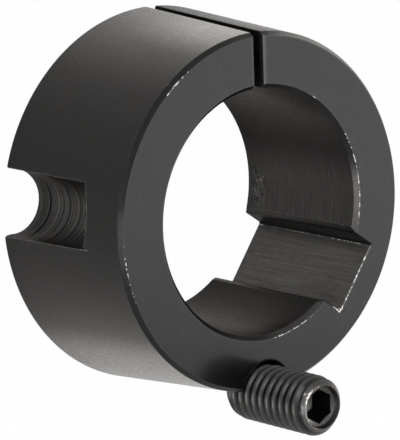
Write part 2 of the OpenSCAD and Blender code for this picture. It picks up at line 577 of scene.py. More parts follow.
# %% [markdown]
# ## Where the black finish is worn or pale, and where highlights are painted
# Handling rubs the finish off the edges, more in some places than in others, and elsewhere leaves it
# thin and pale. Some pale stretches are painted highlights and painted reflections instead: on the
# taper near the saw cut and along its lower edge, and in the bore beside the keyway. Each stretch is
# named by its surface. Two ranges follow, the heights and the angles about the bore in degrees, each
# with the length over which it fades, and then the strength.
# %% Worn and pale stretches
SMALL_END = (body_len - 1.2, body_len + 1, 0.3)
BLIND_END = (BLIND_LOW - 1, BLIND_HIGH + 0.5, 0.3)
BELOW_BEVEL = (-1, body_len - 0.4, 0.3)
ANY_HEIGHT = (-1, body_len + 1, 0.3)
TORN_HEIGHTS = (1.2, 6.8, 1.5)
TORN_ANGLES = (343, 368, 6)
WORN_BASE = 0.1
WORN_STRETCHES = (
    ("taper", SMALL_END, (119, 133.5, 3), 1.45),
    ("taper", SMALL_END, (180, 203, 5), 1.0),
    ("taper", SMALL_END, (216, 228, 4), 0.8),
    ("taper", SMALL_END, (87, 93, 1), 0.9),
    ("bore", SMALL_END, (-18, 42, 15), 1.0),
    ("bore", SMALL_END, (52, 66, 5), 0.7),
    ("bore", SMALL_END, (270, 304, 8), 1.1),
    ("keyway", SMALL_END, (308, 340, 5), 1.2),
    ("keyway", SMALL_END, (308.8, 312, 0.5), 1.8),
    ("keyway", BELOW_BEVEL, (336, 343, 1), 1.4),
    ("keyway", BELOW_BEVEL, (308, 313, 1), 1.2),
    ("plain", BLIND_END, (184, 188, 1), 1.2),
    ("plain", BLIND_END, (165, 184, 3), 0.7),
    ("bore", TORN_HEIGHTS, TORN_ANGLES, 1.6),
)
PALE_AND_HIGHLIGHT_STRETCHES = (
    # Painted highlight on the taper near the saw cut, partly a thinner rubbed finish, and a painted highlight
    # along its lower edge where it reflects the floor at a grazing angle
    ("taper", (1, 2 * body_len, 25), (60, 119, 24), 0.97),
    ("taper", ANY_HEIGHT, (60, 134, 22), 0.07),
    ("taper", ANY_HEIGHT, (214, 262, 14), 0.42),
    # Painted highlight on the shaded copy of the taper, beside the saw cut on the side away from the camera
    ("dry", (8, 2 * body_len, 15), (40, 91, 20), 1.0),
    ("nose", SMALL_END, (78, 108, 12), 0.15),
    ("split left", SMALL_END, (60, 120, 1), 0.3),
    ("split right", SMALL_END, (60, 120, 1), 0.22),
    # Painted reflection: the bore is paler beside the keyway, all along its length
    ("bore", ANY_HEIGHT, (-42, 24, 22), 0.6),
    ("bore", SMALL_END, (-60, 60, 20), 0.1),
    ("bore", SMALL_END, (265, 325, 15), 0.35),
)
# Where the tool tore the bore near the large end, and how deep and how bright the tears are
TORN_STRETCHES = (("bore", TORN_HEIGHTS, TORN_ANGLES, 1.0),)
TORN_SEED = 4
TORN_DEPTH = 0.12
TORN_EDGE = 0.27
TORN_PALE = 1.6
TORN_DARK = 0.4
# Burr that hangs over one wall of the keyway
BURR_STRETCHES = (("keyway", SMALL_END, (308.3, 312, 0.5), 1.0),)
BURR_WIDTH = 0.15
# How pale an edge is where it isn't worn
EDGE_PALE = 0.3
EDGE_PALES = {"taper": 0.15, "nose": 0.08, "plain": 0.2, "bore": 0.2}
# The keyway's bevelled edges, and where the bevel round the small end starts
KEY_BEVEL_PALE = 0.35
KEY_BEVEL_TOP = body_len - 0.3
KEY_BEVEL_MARGIN = 0.05
KEY_FLOOR_MARGIN = 0.2
NOSE_LOW = body_len - 0.85


print(len(WORN_STRETCHES), "worn stretches and", len(PALE_AND_HIGHLIGHT_STRETCHES), "pale ones")

# %% [markdown]
# ## Wear and paleness at a point
# Where stretches lie over each other, the strongest one counts. The back of a half-hole has a painted
# highlight on the crests between its drilling rings and painted shade in their hollows, and the keyway
# is pale on its floor.
# %% Wear and paleness at a point
def ramp(value, low, high, fade):
    """1 well inside a range, 0 outside it, with a soft step over the fade."""
    share = max(0.0, min(1.0, (value - low) / fade, (high - value) / fade))
    return share * share * (3 - 2 * share)


def stretch_at(stretches, place, surface, base):
    """The strongest of the stretches at a point, or the base value away from them."""
    angle = degrees(atan2(place.y, place.x))
    value = base
    for name, heights, (start, stop, fade), strength in stretches:
        if name == surface:
            from_start = (angle - start + 180) % 360 - 180
            share = ramp(place.z, *heights) * ramp(from_start, 0, stop - start, fade)
            value = max(value, base + (strength - base) * share)
    return value


def ring_crest_highlight_at(place):
    """Painted highlight on a half-hole's back wall: palest on the crests between its drilling rings, with
    painted shade left in their hollows.
    """
    direction = plain_left_deg if place.x < 0 else plain_right_deg
    x, y = turned(-direction, place.x, place.y)
    share = (-90 - degrees(atan2(y, x - hole_circle_r))) % 360 / 180
    return ring_fade(share) * max(0.0, 1 - full_ring_depth(place.z) / HOLLOW_DEPTHS[1]) ** 2


def part_of_taper(place):
    """The side away from the camera takes a shaded copy of the finish, with less oil to dim its reflection,
    and the bevel round the small end is duller.
    """
    if place.x > 0:
        return "dry"
    return "nose" if place.z > NOSE_LOW else "taper"


def pale_or_highlight_at(place, surface, edge):
    """How pale a point is, from 0 to 1: a thin finish in some places, painted highlights and reflections in
    others.
    """
    if surface == "keyway":
        x, y = turned(-key_deg, place.x, place.y)
        if abs(y) > key_half + KEY_BEVEL_MARGIN and place.z < KEY_BEVEL_TOP:
            return KEY_BEVEL_PALE
        on_floor = x > key_floor - KEY_FLOOR_MARGIN and abs(y) < key_half - key_corner_r
        return 1.0 if on_floor else 0.0
    # Painted highlight on the ring crests of a half-hole's back wall, leaving its hollows dark as painted
    # shade
    if surface == "plain" and place.z < BLIND_LOW:
        return max(ring_crest_highlight_at(place), EDGE_PALES["plain"] * edge)
    name = part_of_taper(place) if surface == "taper" else surface
    return max(stretch_at(PALE_AND_HIGHLIGHT_STRETCHES, place, name, 0.0), EDGE_PALES.get(name, EDGE_PALE) * edge)


print("finishes with pale stretches:", sorted({stretch[0] for stretch in PALE_AND_HIGHLIGHT_STRETCHES}))

# %% [markdown]
# ## Stack the rows into the body
# Each pair of neighbouring rows is joined by quads, and the two faces are closed by one polygon
# each. Points that fall together where a half-hole closes are merged afterwards. Each quad takes
# the finish of the surface that it lies on.
# %% Build the bush as a mesh
FINISHES = ["taper", "face", "bore", "keyway", "split", "plain", "tapped", "dry", "nose"]
FACE = FINISHES.index("face")
SPLIT_BEVEL_LOW = body_len - 0.19
MERGE_DISTANCE = 0.004


def finish_of(surface, place):
    """Index of a surface's finish; the cut's bevels are as smooth as the face."""
    if surface == "taper":
        return FINISHES.index(part_of_taper(place))
    if surface.startswith("split") and place.z > SPLIT_BEVEL_LOW:
        return FACE
    return FINISHES.index(surface.split()[0])


def link_object(name, data):
    """A new object in the scene."""
    made = bpy.data.objects.new(name, data)
    bpy.context.scene.collection.objects.link(made)
    return made


def new_layers(bm):
    """The four values that each point carries."""
    return [bm.verts.layers.float.new(name) for name in ("edge", "worn", "pale", "groove")]


def build_bush():
    bm = bmesh.new()
    edge_layer, worn_layer, pale_layer, groove_layer = new_layers(bm)
    rings = []
    tears = random.Random(TORN_SEED)
    for row in bush_rows:
        ring = []
        on_face = row.inset > 0
        for place, surface, edge, groove in bush_loop(row):
            pale = pale_or_highlight_at(place, surface, edge)
            torn = stretch_at(TORN_STRETCHES, place, surface, 0.0)
            if torn > 0:
                height = torn * tears.random()
                place.xy = place.xy * (1 + height * TORN_DEPTH / bore_r)
                pale += TORN_PALE * height ** 2 - TORN_DARK * torn
                edge = TORN_EDGE * torn
            burr = stretch_at(BURR_STRETCHES, place, surface, 0.0)
            if burr > 0 and not on_face and place.z > body_len - ON_SURFACE:
                overhang = turned(key_deg, 0.0, burr * tears.uniform(0.0, BURR_WIDTH))
                place.xy = place.xy + Vector(overhang)
            vert = bm.verts.new(place * MM)
            vert[edge_layer] = 0.0 if on_face else edge
            vert[worn_layer] = stretch_at(WORN_STRETCHES, place, surface, WORN_BASE)
            vert[pale_layer] = 0.0 if on_face else pale
            vert[groove_layer] = groove * MM
            ring.append((vert, surface, place))
        rings.append(ring)
    count = len(rings[0])
    for k, (low, high) in enumerate(zip(rings, rings[1:])):
        on_face = k == 0 or k == len(rings) - 2
        for j in range(count):
            n = (j + 1) % count
            face = bm.faces.new((low[j][0], low[n][0], high[n][0], high[j][0]))
            face.material_index = FACE if on_face else finish_of(high[n][1], high[n][2])
            face.smooth = True
    for ring, flip in ((rings[0], True), (rings[-1], False)):
        verts = [vert for vert, _, _ in ring]
        cap = bm.faces.new(verts[::-1] if flip else verts)
        cap.material_index = FACE
    bmesh.ops.remove_doubles(bm, verts=bm.verts, dist=MERGE_DISTANCE * MM)
    bmesh.ops.triangulate(bm, faces=[face for face in bm.faces if len(face.verts) > 4])
    mesh = bpy.data.meshes.new("bush_body")
    bm.to_mesh(mesh)
    bm.free()
    return mesh


bush_mesh = build_bush()
bush = link_object("bush_body", bush_mesh)
print("bush_body:", len(bush_mesh.vertices), "points,", len(bush_mesh.polygons), "faces")

# %% [markdown]
# ## The screw before its thread
# The set screw starts as a turned blank: a cup at its point, a bevel at each end and a dished
# mouth over a hexagon socket. It is a stack of rings again, and each ring says how marked an edge it
# is and how pale; on the head's bevel and the mouth's rim that paleness is a painted highlight.
# %% Sizes and round rings of the screw
screw_r = 5.45
screw_len = 22.0
root_r = 4.42
point_r = 4.0
point_bevel_h = 2.2
head_bevel_h = 1.5
face_r = 4.1
mouth_r = 3.95
mouth_floor_r = 3.6
mouth_depth = 0.95
mouth_slope = tan(radians(14))
hex_half = 2.78
socket_point = 1.67
cup_r = 2.6
cup_depth = 1.56
screw_bottom = screw_top - screw_len
POINT_RINGS = 14
THREAD_RINGS = 200
HEAD_RINGS = 12
# The bevel at the socket end bulges a little, and its last edge is rounded
HEAD_BULGE = 0.12
HEAD_ROUND = 0.07
HEAD_SHARE = 0.97


def mouth_height(radius):
    """Height of the recessed mouth at a radius: a steep wall, then a floor that slopes to the socket."""
    if radius > mouth_floor_r:
        return screw_len - mouth_depth * (mouth_r - radius) / (mouth_r - mouth_floor_r)
    return screw_len - mouth_depth - (mouth_floor_r - radius) * mouth_slope


def screw_profile():
    """Round rings from the cup's middle to the mouth's floor: (radius, height, edge, pale); pale on the
    head's bevel and rim is a painted highlight.
    """
    rings = [(radius, cup_depth * (1 - radius / cup_r), 0.0, 0.0) for radius in (0.3, 1.4, cup_r - 0.15)]
    for radius, edge in ((cup_r, 0.8), (cup_r + 0.2, 0.0), (point_r - 0.2, 0.0), (point_r, 0.8)):
        rings.append((radius, 0.0, edge, 0.0))
    for k in range(1, POINT_RINGS + 1):
        share = k / POINT_RINGS
        rings.append((point_r + (screw_r - point_r) * share, point_bevel_h * share, 0.0, 0.0))
    body = screw_len - point_bevel_h - head_bevel_h
    for k in range(1, THREAD_RINGS + 1):
        rings.append((screw_r, point_bevel_h + body * k / THREAD_RINGS, 0.0, 0.0))
    for k in range(1, HEAD_RINGS):
        share = k / HEAD_RINGS
        bulge = HEAD_BULGE * sin(pi * share)
        radius = screw_r + (face_r + HEAD_BULGE - screw_r) * share + bulge
        height = screw_len - head_bevel_h * (1 - share) * HEAD_SHARE - HEAD_ROUND
        # Painted highlight: the head's bevel grows paler towards its rim
        rings.append((radius, height, 0.5 * share ** 2, 0.7 * share ** 2))
    # The rounded rim round the mouth, whose pale value is a painted highlight
    rings += [
        (face_r + 0.06, screw_len - 0.03, 0.85, 0.8),
        (face_r - 0.02, screw_len, 0.95, 1.0),
        (mouth_r + 0.03, screw_len - 0.01, 0.95, 1.0),
        (mouth_r - 0.02, screw_len - HEAD_ROUND, 0.7, 0.8),
    ]
    for radius, edge, pale in (
        (mouth_r - 0.06, 0.0, 0.2),
        (mouth_floor_r + 0.04, 0.0, 0.2),
        (mouth_floor_r - 0.03, 0.9, 0.9),
    ):
        rings.append((radius, mouth_height(radius), edge, pale))
    return rings


print("screw:", screw_len, "mm long,", len(screw_profile()), "round rings")

# %% [markdown]
# ## From rings to the blank
# The last rings follow the hexagon, so the dish runs straight into the socket's six walls. The mouth
# is rubbed bright on the side where the key was put in, and most where something knocked it. The head's
# bevel and the mouth's rim carry a painted highlight on that same side, where the light falls. Small
# dents along the bevel come from a seeded random source.
# %% Build the screw blank
SCREW_COLUMNS = 144
DENT_SEED = 5
DENT_DEPTH = 0.05
# Directions of the handled side, which also takes the painted highlight, and of the knock, and how far the
# knock spreads
HANDLED_AND_LIT_DEG = 172
KNOCK_DEG = 142
KNOCK_SPREAD = 9
# Rings round the hexagon: how far outside it, how far above the mouth's floor, edge and pale
HEX_RINGS = (
    (0.15, 0.0, 0.9, 0.9),
    (0.03, 0.0, 0.5, 0.0),
    (0.0, -0.05, 0.5, 0.0),
    (0.0, -0.3, 0.0, 0.0),
    (0.0, -2.5, 0.0, 0.0),
)
# How many of them come before the six walls
HEX_MOUTH_RINGS = 2
# Rings of the socket's floor as shares of the way out from its middle
SOCKET_FLAT = 0.99
SOCKET_SHARES = (1.0, SOCKET_FLAT, 0.9, 0.5, 0.1)


def hexagon_radius(angle_deg):
    """Distance to the socket's wall, whose corners point along Y."""
    return hex_half / cos(radians((angle_deg + 30) % 60 - 30))


def build_screw():
    bm = bmesh.new()
    edge_layer, worn_layer, pale_layer, groove_layer = new_layers(bm)

    def place(radius, height, angle_deg, edge=0.0, pale=0.0, groove=0.0):
        angle = radians(angle_deg)
        x = radius * cos(angle)
        y = screw_y + radius * sin(angle)
        vert = bm.verts.new(Vector((x, y, screw_bottom + height)) * MM)
        side = 0.5 + 0.5 * cos(angle - radians(HANDLED_AND_LIT_DEG))
        away = remainder(angle - radians(KNOCK_DEG), 2 * pi) / radians(KNOCK_SPREAD)
        vert[edge_layer] = edge
        vert[worn_layer] = WORN_BASE + 0.9 * side ** 3 + 1.1 * exp(-away * away)
        # Painted highlight: the pale value is kept only on the handled side, where the light falls
        vert[pale_layer] = pale * side ** 4
        vert[groove_layer] = groove * MM
        return vert

    rings = []
    dents = random.Random(DENT_SEED)
    angles = [360 * k / SCREW_COLUMNS for k in range(SCREW_COLUMNS)]
    for radius, height, edge, pale in screw_profile():
        dent = DENT_DEPTH if pale > 0 and mouth_r < radius < screw_r else 0.0
        groove = max(0.0, min(radius, screw_r) - root_r)
        ring = []
        for angle in angles:
            ring.append(place(radius - dents.uniform(0, dent), height, angle, edge, pale, groove))
        rings.append(ring)
    for outside, lift, edge, pale in HEX_RINGS:
        ring = []
        for angle in angles:
            radius = hexagon_radius(angle) + outside
            ring.append(place(radius, mouth_height(radius) + lift, angle, edge, pale))
        rings.append(ring)
    wall_rings = len(rings)
    mouth_rings = wall_rings - len(HEX_RINGS) + HEX_MOUTH_RINGS
    for share in SOCKET_SHARES:
        deep = socket_point * (1 - share) if share < SOCKET_FLAT else 0.0
        ring = []
        for angle in angles:
            corner = hexagon_radius(angle)
            radius = corner if share == 1 else min(corner, hex_half) * share
            ring.append(place(radius, screw_len - hex_depth - deep, angle))
        rings.append(ring)
    for j, (low, high) in enumerate(zip(rings, rings[1:])):
        for k in range(SCREW_COLUMNS):
            n = (k + 1) % SCREW_COLUMNS
            face = bm.faces.new((low[k], low[n], high[n], high[k]))
            face.smooth = True
            face.material_index = (j >= mouth_rings) + (j >= wall_rings)
    cup_middle = place(0.0, cup_depth, 0.0)
    socket_middle = place(0.0, screw_len - hex_depth - socket_point, 0.0)
    for k in range(SCREW_COLUMNS):
        n = (k + 1) % SCREW_COLUMNS
        bm.faces.new((rings[0][n], rings[0][k], cup_middle))
        face = bm.faces.new((rings[-1][k], rings[-1][n], socket_middle))
        face.material_index = 2
    mesh = bpy.data.meshes.new("set_screw_body")
    bm.to_mesh(mesh)
    bm.free()
    return mesh


screw_mesh = build_screw()
screw = link_object("set_screw_body", screw_mesh)
print("set_screw_body:", len(screw_mesh.vertices), "points,", len(screw_mesh.polygons), "faces")

# %% [markdown]
# ## Two helpers for node trees
# Every tree below is built with two helpers. One adds a node with its settings and inputs, and the
# other one does a sum with sockets and numbers.
# %% Node helpers
def add_node(tree, kind, settings=None, values=None):
    """A node with its settings, and with numbers or sockets put into its inputs."""
    node = tree.nodes.new(kind)
    for name, value in (settings or {}).items():
        setattr(node, name, value)
    for key, value in (values or {}).items():
        if isinstance(value, bpy.types.NodeSocket):
            tree.links.new(value, node.inputs[key])
        else:
            node.inputs[key].default_value = value
    return node


def calc(operation, *values):
    """One sum of sockets and numbers, in the tree of its first socket."""
    tree = next(value for value in values if isinstance(value, bpy.types.NodeSocket)).id_data
    return add_node(tree, "ShaderNodeMath", {"operation": operation}, dict(enumerate(values))).outputs[0]


print("node helpers: one for nodes, one for sums")

# %% [markdown]
# ## One tree cuts both threads
# A thread is a groove that climbs by one pitch in each turn, so the depth at a point follows from
# its height and its angle about the screw's axis. Geometry Nodes move each point towards the axis by
# that rule. The same tree cuts the screw and the half-hole, so ridge meets groove, and the attribute
# called groove says how deep the cut may be at each point.
# %% Build the thread cutter
THREAD_INPUTS = {
    "Geometry": "NodeSocketGeometry",
    "Axis": "NodeSocketVector",
    "Pitch": "NodeSocketFloat",
    "Start": "NodeSocketFloat",
    "Crest Width": "NodeSocketFloat",
    "Material": "NodeSocketMaterial",
}


def thread_tree():
    tree = bpy.data.node_groups.new("thread cutter", "GeometryNodeTree")
    for name, kind in THREAD_INPUTS.items():
        tree.interface.new_socket(name, in_out="INPUT", socket_type=kind)
    tree.interface.new_socket("Geometry", in_out="OUTPUT", socket_type="NodeSocketGeometry")
    start = tree.nodes.new("NodeGroupInput")
    end = tree.nodes.new("NodeGroupOutput")
    place = add_node(tree, "GeometryNodeInputPosition").outputs[0]
    local = add_node(
        tree, "ShaderNodeVectorMath", {"operation": "SUBTRACT"}, {0: place, 1: start.outputs["Axis"]}
    ).outputs[0]
    split = add_node(tree, "ShaderNodeSeparateXYZ", values={0: local})
    angle = calc("ARCTAN2", split.outputs["Y"], split.outputs["X"])
    climbed = calc("DIVIDE", split.outputs["Z"], start.outputs["Pitch"])
    turned_by = calc("DIVIDE", angle, 2 * pi)
    turns = calc("SUBTRACT", climbed, turned_by)
    turns = calc("ADD", turns, start.outputs["Start"])
    wave = calc("COSINE", calc("MULTIPLY", turns, pi))
    crest = calc("POWER", calc("ABSOLUTE", wave), start.outputs["Crest Width"])
    groove = add_node(
        tree, "GeometryNodeInputNamedAttribute", {"data_type": "FLOAT"}, {"Name": "groove"}
    ).outputs["Attribute"]
    depth = calc("MULTIPLY", groove, calc("SUBTRACT", crest, 1.0))
    flat = add_node(
        tree, "ShaderNodeCombineXYZ", values={"X": split.outputs["X"], "Y": split.outputs["Y"], "Z": 0.0}
    ).outputs[0]
    outward = add_node(tree, "ShaderNodeVectorMath", {"operation": "NORMALIZE"}, {0: flat}).outputs[0]
    offset = add_node(
        tree, "ShaderNodeVectorMath", {"operation": "SCALE"}, {0: outward, "Scale": depth}
    ).outputs[0]
    is_thread = calc("GREATER_THAN", groove, 0.00001)
    lower = calc("MULTIPLY", is_thread, calc("SUBTRACT", crest, 1.0))
    moved = add_node(
        tree, "GeometryNodeSetPosition", values={"Geometry": start.outputs["Geometry"], "Offset": offset}
    ).outputs[0]
    marked = add_node(
        tree,
        "GeometryNodeStoreNamedAttribute",
        {"data_type": "FLOAT", "domain": "POINT"},
        {"Geometry": moved, "Name": "crest", "Value": calc("ADD", lower, 1.0)},
    ).outputs[0]
    real = add_node(tree, "GeometryNodeRealizeInstances", values={"Geometry": marked}).outputs[0]
    painted = add_node(
        tree,
        "GeometryNodeSetMaterial",
        values={"Geometry": real, "Selection": is_thread, "Material": start.outputs["Material"]},
    ).outputs[0]
    tree.links.new(painted, end.inputs["Geometry"])
    return tree


cutter = thread_tree()
print("thread cutter:", len(cutter.nodes), "nodes, inputs", list(THREAD_INPUTS))

# %% [markdown]
# ## How a finish is made
# Both pieces are blackened: a thin dark layer that follows every tool mark below it. The
# finish is therefore grain from the tool, soft patches in the layer, small pale specks and
# scratches, and bright metal where an edge has rubbed through. Grain is noise stretched along the
# tool's path, which runs round the bore on turned faces and along it in the keyway.
# %% Helpers for a finish
def stretched(coords, scale):
    return add_node(coords.id_data, "ShaderNodeMapping", values={"Vector": coords, "Scale": scale}).outputs[0]


def polar_coords(coords, across, along):
    """Radius and angle about the bore as coordinates, with the seam at the saw cut."""
    tree = coords.id_data
    split = add_node(tree, "ShaderNodeSeparateXYZ", values={0: coords})
    x = split.outputs["X"]
    y = split.outputs["Y"]
    squares = calc("ADD", calc("MULTIPLY", x, x), calc("MULTIPLY", y, y))
    radius = calc("SQRT", squares)
    angle = calc("ARCTAN2", x, calc("MULTIPLY", y, -1.0))
    u = calc("MULTIPLY", radius, across)
    v = calc("MULTIPLY", angle, along)
    return add_node(tree, "ShaderNodeCombineXYZ", values={"X": u, "Y": v}).outputs[0]


def noise(coords, scale, detail=2.0, roughness=0.5):
    values = {"Vector": coords, "Scale": scale, "Detail": detail, "Roughness": roughness}
    return add_node(coords.id_data, "ShaderNodeTexNoise", values=values).outputs[0]


def remap(value, low, high, to_low=0.0, to_high=1.0):
    values = {"Value": value, 1: low, 2: high, 3: to_low, 4: to_high}
    smooth = {"interpolation_type": "SMOOTHSTEP"}
    return add_node(value.id_data, "ShaderNodeMapRange", smooth, values).outputs[0]


def attribute(tree, name):
    return add_node(tree, "ShaderNodeAttribute", {"attribute_name": name}).outputs["Fac"]


def mix_colour(share, first, second):
    values = {0: share, 6: first, 7: second}
    return add_node(share.id_data, "ShaderNodeMix", {"data_type": "RGBA"}, values).outputs[2]


def grey(level, warmth=0.0):
    """A grey, a little warm or cool, as an RGBA colour."""
    return (level * (1 + warmth), level, level * (1 - warmth), 1.0)


# %% [markdown]
# ## Grain and marks
# Each finish is built in a few steps. The first two are the direction of the grain, which turns
# with the surface, and the small scratches and specks, which lie where the layer is least even.
# %% Grain and small marks
# Radius at which a grain round the face is as fine as one round the bore
FACE_GRAIN_R = 0.03
PATCH_SCALE = 150.0
CLOUD_SCALE = 1400.0
SPECK_SCALE = 4200.0
RUB_SCALE = 1000.0
SCRATCH_SCALE = (2600.0, 240.0, 700.0)


def grain_path(coords, grain):
    """Coordinates for a grain: its path, then repeats per metre across the path and along it."""
    path, across, along = grain
    if path == "round the bore":
        return stretched(coords, (along, along, across))
    if path == "along the bore":
        return stretched(coords, (across, across, along))
    return polar_coords(coords, across, along * FACE_GRAIN_R)


def small_marks(coords, patches, specks):
    scratch = remap(noise(stretched(coords, SCRATCH_SCALE), 1.0, detail=1.0), 0.72, 0.78)
    scratch = calc("MULTIPLY", scratch, 0.2 * specks)
    least = 0.74 - 0.05 * specks
    speck = remap(noise(coords, SPECK_SCALE), least, least + 0.06)
    marks = calc("MAXIMUM", scratch, speck)
    return calc("MULTIPLY", marks, remap(patches, 0.35, 0.65, 0.15, 1.0))


def bare_metal(coords):
    """1 where the layer has rubbed through, which takes an edge, wear and a high spot together."""
    tree = coords.id_data
    rub = remap(noise(coords, RUB_SCALE, detail=4.0, roughness=0.8), 0.38, 0.62)
    wear = calc("MULTIPLY", attribute(tree, "worn"), 0.5)
    high = calc("ADD", attribute(tree, "edge"), rub)
    return remap(calc("SUBTRACT", high, calc("SUBTRACT", 2.0, wear)), 0.0, 0.1)


# %% [markdown]
# ## The black layer
# The layer's colour starts from one dark tone with soft patches. It grows paler where the finish is
# thin and where highlights and reflections are painted, is shaded by the grain, takes the marks, and
# has painted shade at the root of a thread. Bare metal lies over all of it. A thin film of oil is a
# coat, strong on the taper and missing in the saw cut.
# %% Build a black finish
OIL_IOR = 1.3
PALE_WARMTH = 0.04
SHEEN_TINT = (1.0, 0.95, 0.91, 1.0)


def black_layer(tone, warmth, pale, patches, lines, cloud, marks, threaded):
    tree = patches.id_data
    spots = remap(patches, 0.35, 0.75, 0.0, 0.4)
    layer = mix_colour(spots, grey(tone, warmth), grey(tone * 1.3))
    # The pale value paints both a thin finish and the painted highlights and reflections
    thin = calc("MULTIPLY", attribute(tree, "pale"), remap(patches, 0.35, 0.65, 0.88, 1.0))
    layer = mix_colour(thin, layer, grey(pale, PALE_WARMTH))
    by_grain = remap(lines, 0.3, 0.7, 0.8, 1.2)
    shade = calc("MULTIPLY", by_grain, remap(cloud, 0.35, 0.7, 1.05, 0.9))
    scale = {"operation": "SCALE"}
    layer = add_node(tree, "ShaderNodeVectorMath", scale, {0: layer, "Scale": shade}).outputs[0]
    layer = mix_colour(calc("MULTIPLY", marks, 0.5), layer, grey(0.2, 0.02))
    # Painted shade: the root of a thread is darkened where its flanks shade it
    if threaded:
        hollow = remap(attribute(tree, "crest"), 0.25, 0.95, 1.0, 0.0)
        layer = mix_colour(hollow, layer, grey(tone * 0.1, warmth))
    return layer


def black_finish(name, grain, tone, warmth, bump, rough, specks=0.5, metal=0.85, oil=1.0,
                 pale=0.1, bare=0.4, threaded=False):
    """A blackened surface. bump is the depth of its grain in millimetres."""
    material = bpy.data.materials.new(name)
    material.use_nodes = True
    tree = material.node_tree
    shader = tree.nodes["Principled BSDF"]
    coords = add_node(tree, "ShaderNodeTexCoord").outputs["Object"]
    lines = noise(grain_path(coords, grain), 1.0, detail=3.0, roughness=0.6)
    patches = noise(coords, PATCH_SCALE, detail=5.0, roughness=0.6)
    cloud = noise(coords, CLOUD_SCALE, detail=4.0, roughness=0.7)
    marks = small_marks(coords, patches, specks)
    layer = black_layer(tone, warmth, pale, patches, lines, cloud, marks, threaded)
    bright = bare_metal(coords)

    base_rough = remap(cloud, 0.3, 0.7, rough - 0.06, rough + 0.08)
    roughness = calc("SUBTRACT", base_rough, calc("MULTIPLY", bright, 0.12))
    height = calc("MULTIPLY", lines, 0.6)
    height = calc("ADD", height, calc("MULTIPLY", cloud, 0.4))
    height = calc("ADD", height, calc("MULTIPLY", marks, 0.3))
    depth = {"Strength": 1.0, "Distance": bump * MM, "Height": height}
    for socket, value in (
        ("Base Color", mix_colour(bright, layer, grey(bare, PALE_WARMTH))),
        ("Metallic", remap(bright, 0.0, 1.0, metal, 0.95)),
        ("Roughness", roughness),
        ("Normal", add_node(tree, "ShaderNodeBump", values=depth).outputs[0]),
    ):
        tree.links.new(value, shader.inputs[socket])
    for socket, value in (
        ("Specular IOR Level", 0.15),
        ("Specular Tint", SHEEN_TINT),
        ("Coat Weight", oil),
        ("Coat IOR", OIL_IOR),
        ("Coat Roughness", 0.2),
    ):
        shader.inputs[socket].default_value = value
    return material


print("grain is measured in repeats per metre, bump in millimetres")

# %% [markdown]
# ## The finishes of the two pieces
# The taper is turned fine and has the most oil. The side away from the camera takes a shaded copy of
# its finish, with less oil to dim the reflection there. The bevel round the small end is duller. The
# bore, keyway and half-holes are a little coarser and carry little oil, and the saw cut is the
# roughest and darkest. The socket of the screw was broached, then blackened.
# %% Make the finishes
FINE_TURNED = ("round the bore", 3800, 120)
finishes = {
    "taper": black_finish(
        "turned taper", FINE_TURNED, tone=0.003, warmth=0.3, bump=0.004, rough=0.28, pale=0.36
    ),
    "nose": black_finish(
        "bevelled edge", FINE_TURNED, tone=0.012, warmth=0.03, bump=0.004, rough=0.5, oil=0.45
    ),
    # Shaded copy of the taper's finish for the side away from the camera: less oil dims its reflection
    "dry": black_finish(
        "turned taper with less oil", FINE_TURNED, tone=0.003, warmth=0.3, bump=0.004, rough=0.4,
        oil=0.45, pale=0.22,
    ),
    "face": black_finish(
        "faced end", ("round the face", 2600, 120), tone=0.006, warmth=-0.01, bump=0.004, rough=0.4,
        specks=0.8, metal=0.7, oil=0.95,
    ),
    "bore": black_finish(
        "bored wall", ("round the bore", 3200, 90), tone=0.006, warmth=0.08, bump=0.015, rough=0.4,
        specks=0.6, oil=0.3,
    ),
    "keyway": black_finish(
        "broached keyway", ("along the bore", 2600, 60), tone=0.006, warmth=0.06, bump=0.02, rough=0.42,
        specks=0.7, metal=0.6, oil=0.2, pale=0.14, bare=0.8,
    ),
    "split": black_finish(
        "sawn wall", ("along the bore", 1500, 200), tone=0.004, warmth=0.05, bump=0.03, rough=0.6,
        specks=0.2, metal=0.5, oil=0.0,
    ),
    "plain": black_finish(
        "drilled wall", ("round the bore", 4200, 90), tone=0.005, warmth=0.06, bump=0.045, rough=0.4,
        metal=0.6, oil=0.1, pale=0.16,
    ),
    "tapped": black_finish(
        "tapped thread", ("round the bore", 2500, 120), tone=0.012, warmth=0.05, bump=0.01, rough=0.4,
        threaded=True,
    ),
}
screw_finish = black_finish(
    "rolled screw thread", ("round the bore", 2500, 200), tone=0.04, warmth=0.06, bump=0.012, rough=0.36,
    specks=0.6, pale=0.14, threaded=True,
)
hexagon_finish = black_finish(
    "broached socket", ("along the bore", 2500, 200), tone=0.004, warmth=0.06, bump=0.01, rough=0.5,
    specks=0.3, metal=0.5, oil=0.0,
)
socket_finish = black_finish(
    "drilled socket end", ("round the bore", 900, 900), tone=0.1, warmth=0.02, bump=0.05, rough=0.5,
    specks=1.4, metal=0.6, oil=0.0,
)
for name in FINISHES:
    bush_mesh.materials.append(finishes[name])
for material in (screw_finish, hexagon_finish, socket_finish):
    screw_mesh.materials.append(material)
print("finishes:", ", ".join(material.name for material in finishes.values()), "and", screw_finish.name)

# %% [markdown]
# ## Cut the threads
# Each input of a modifier is set by its socket's identifier.
# %% Run the thread cutter on both pieces
PITCH = 1.85
THREAD_START = 0.47
CREST_WIDTH = 1.3
SHARP_DEG = 38


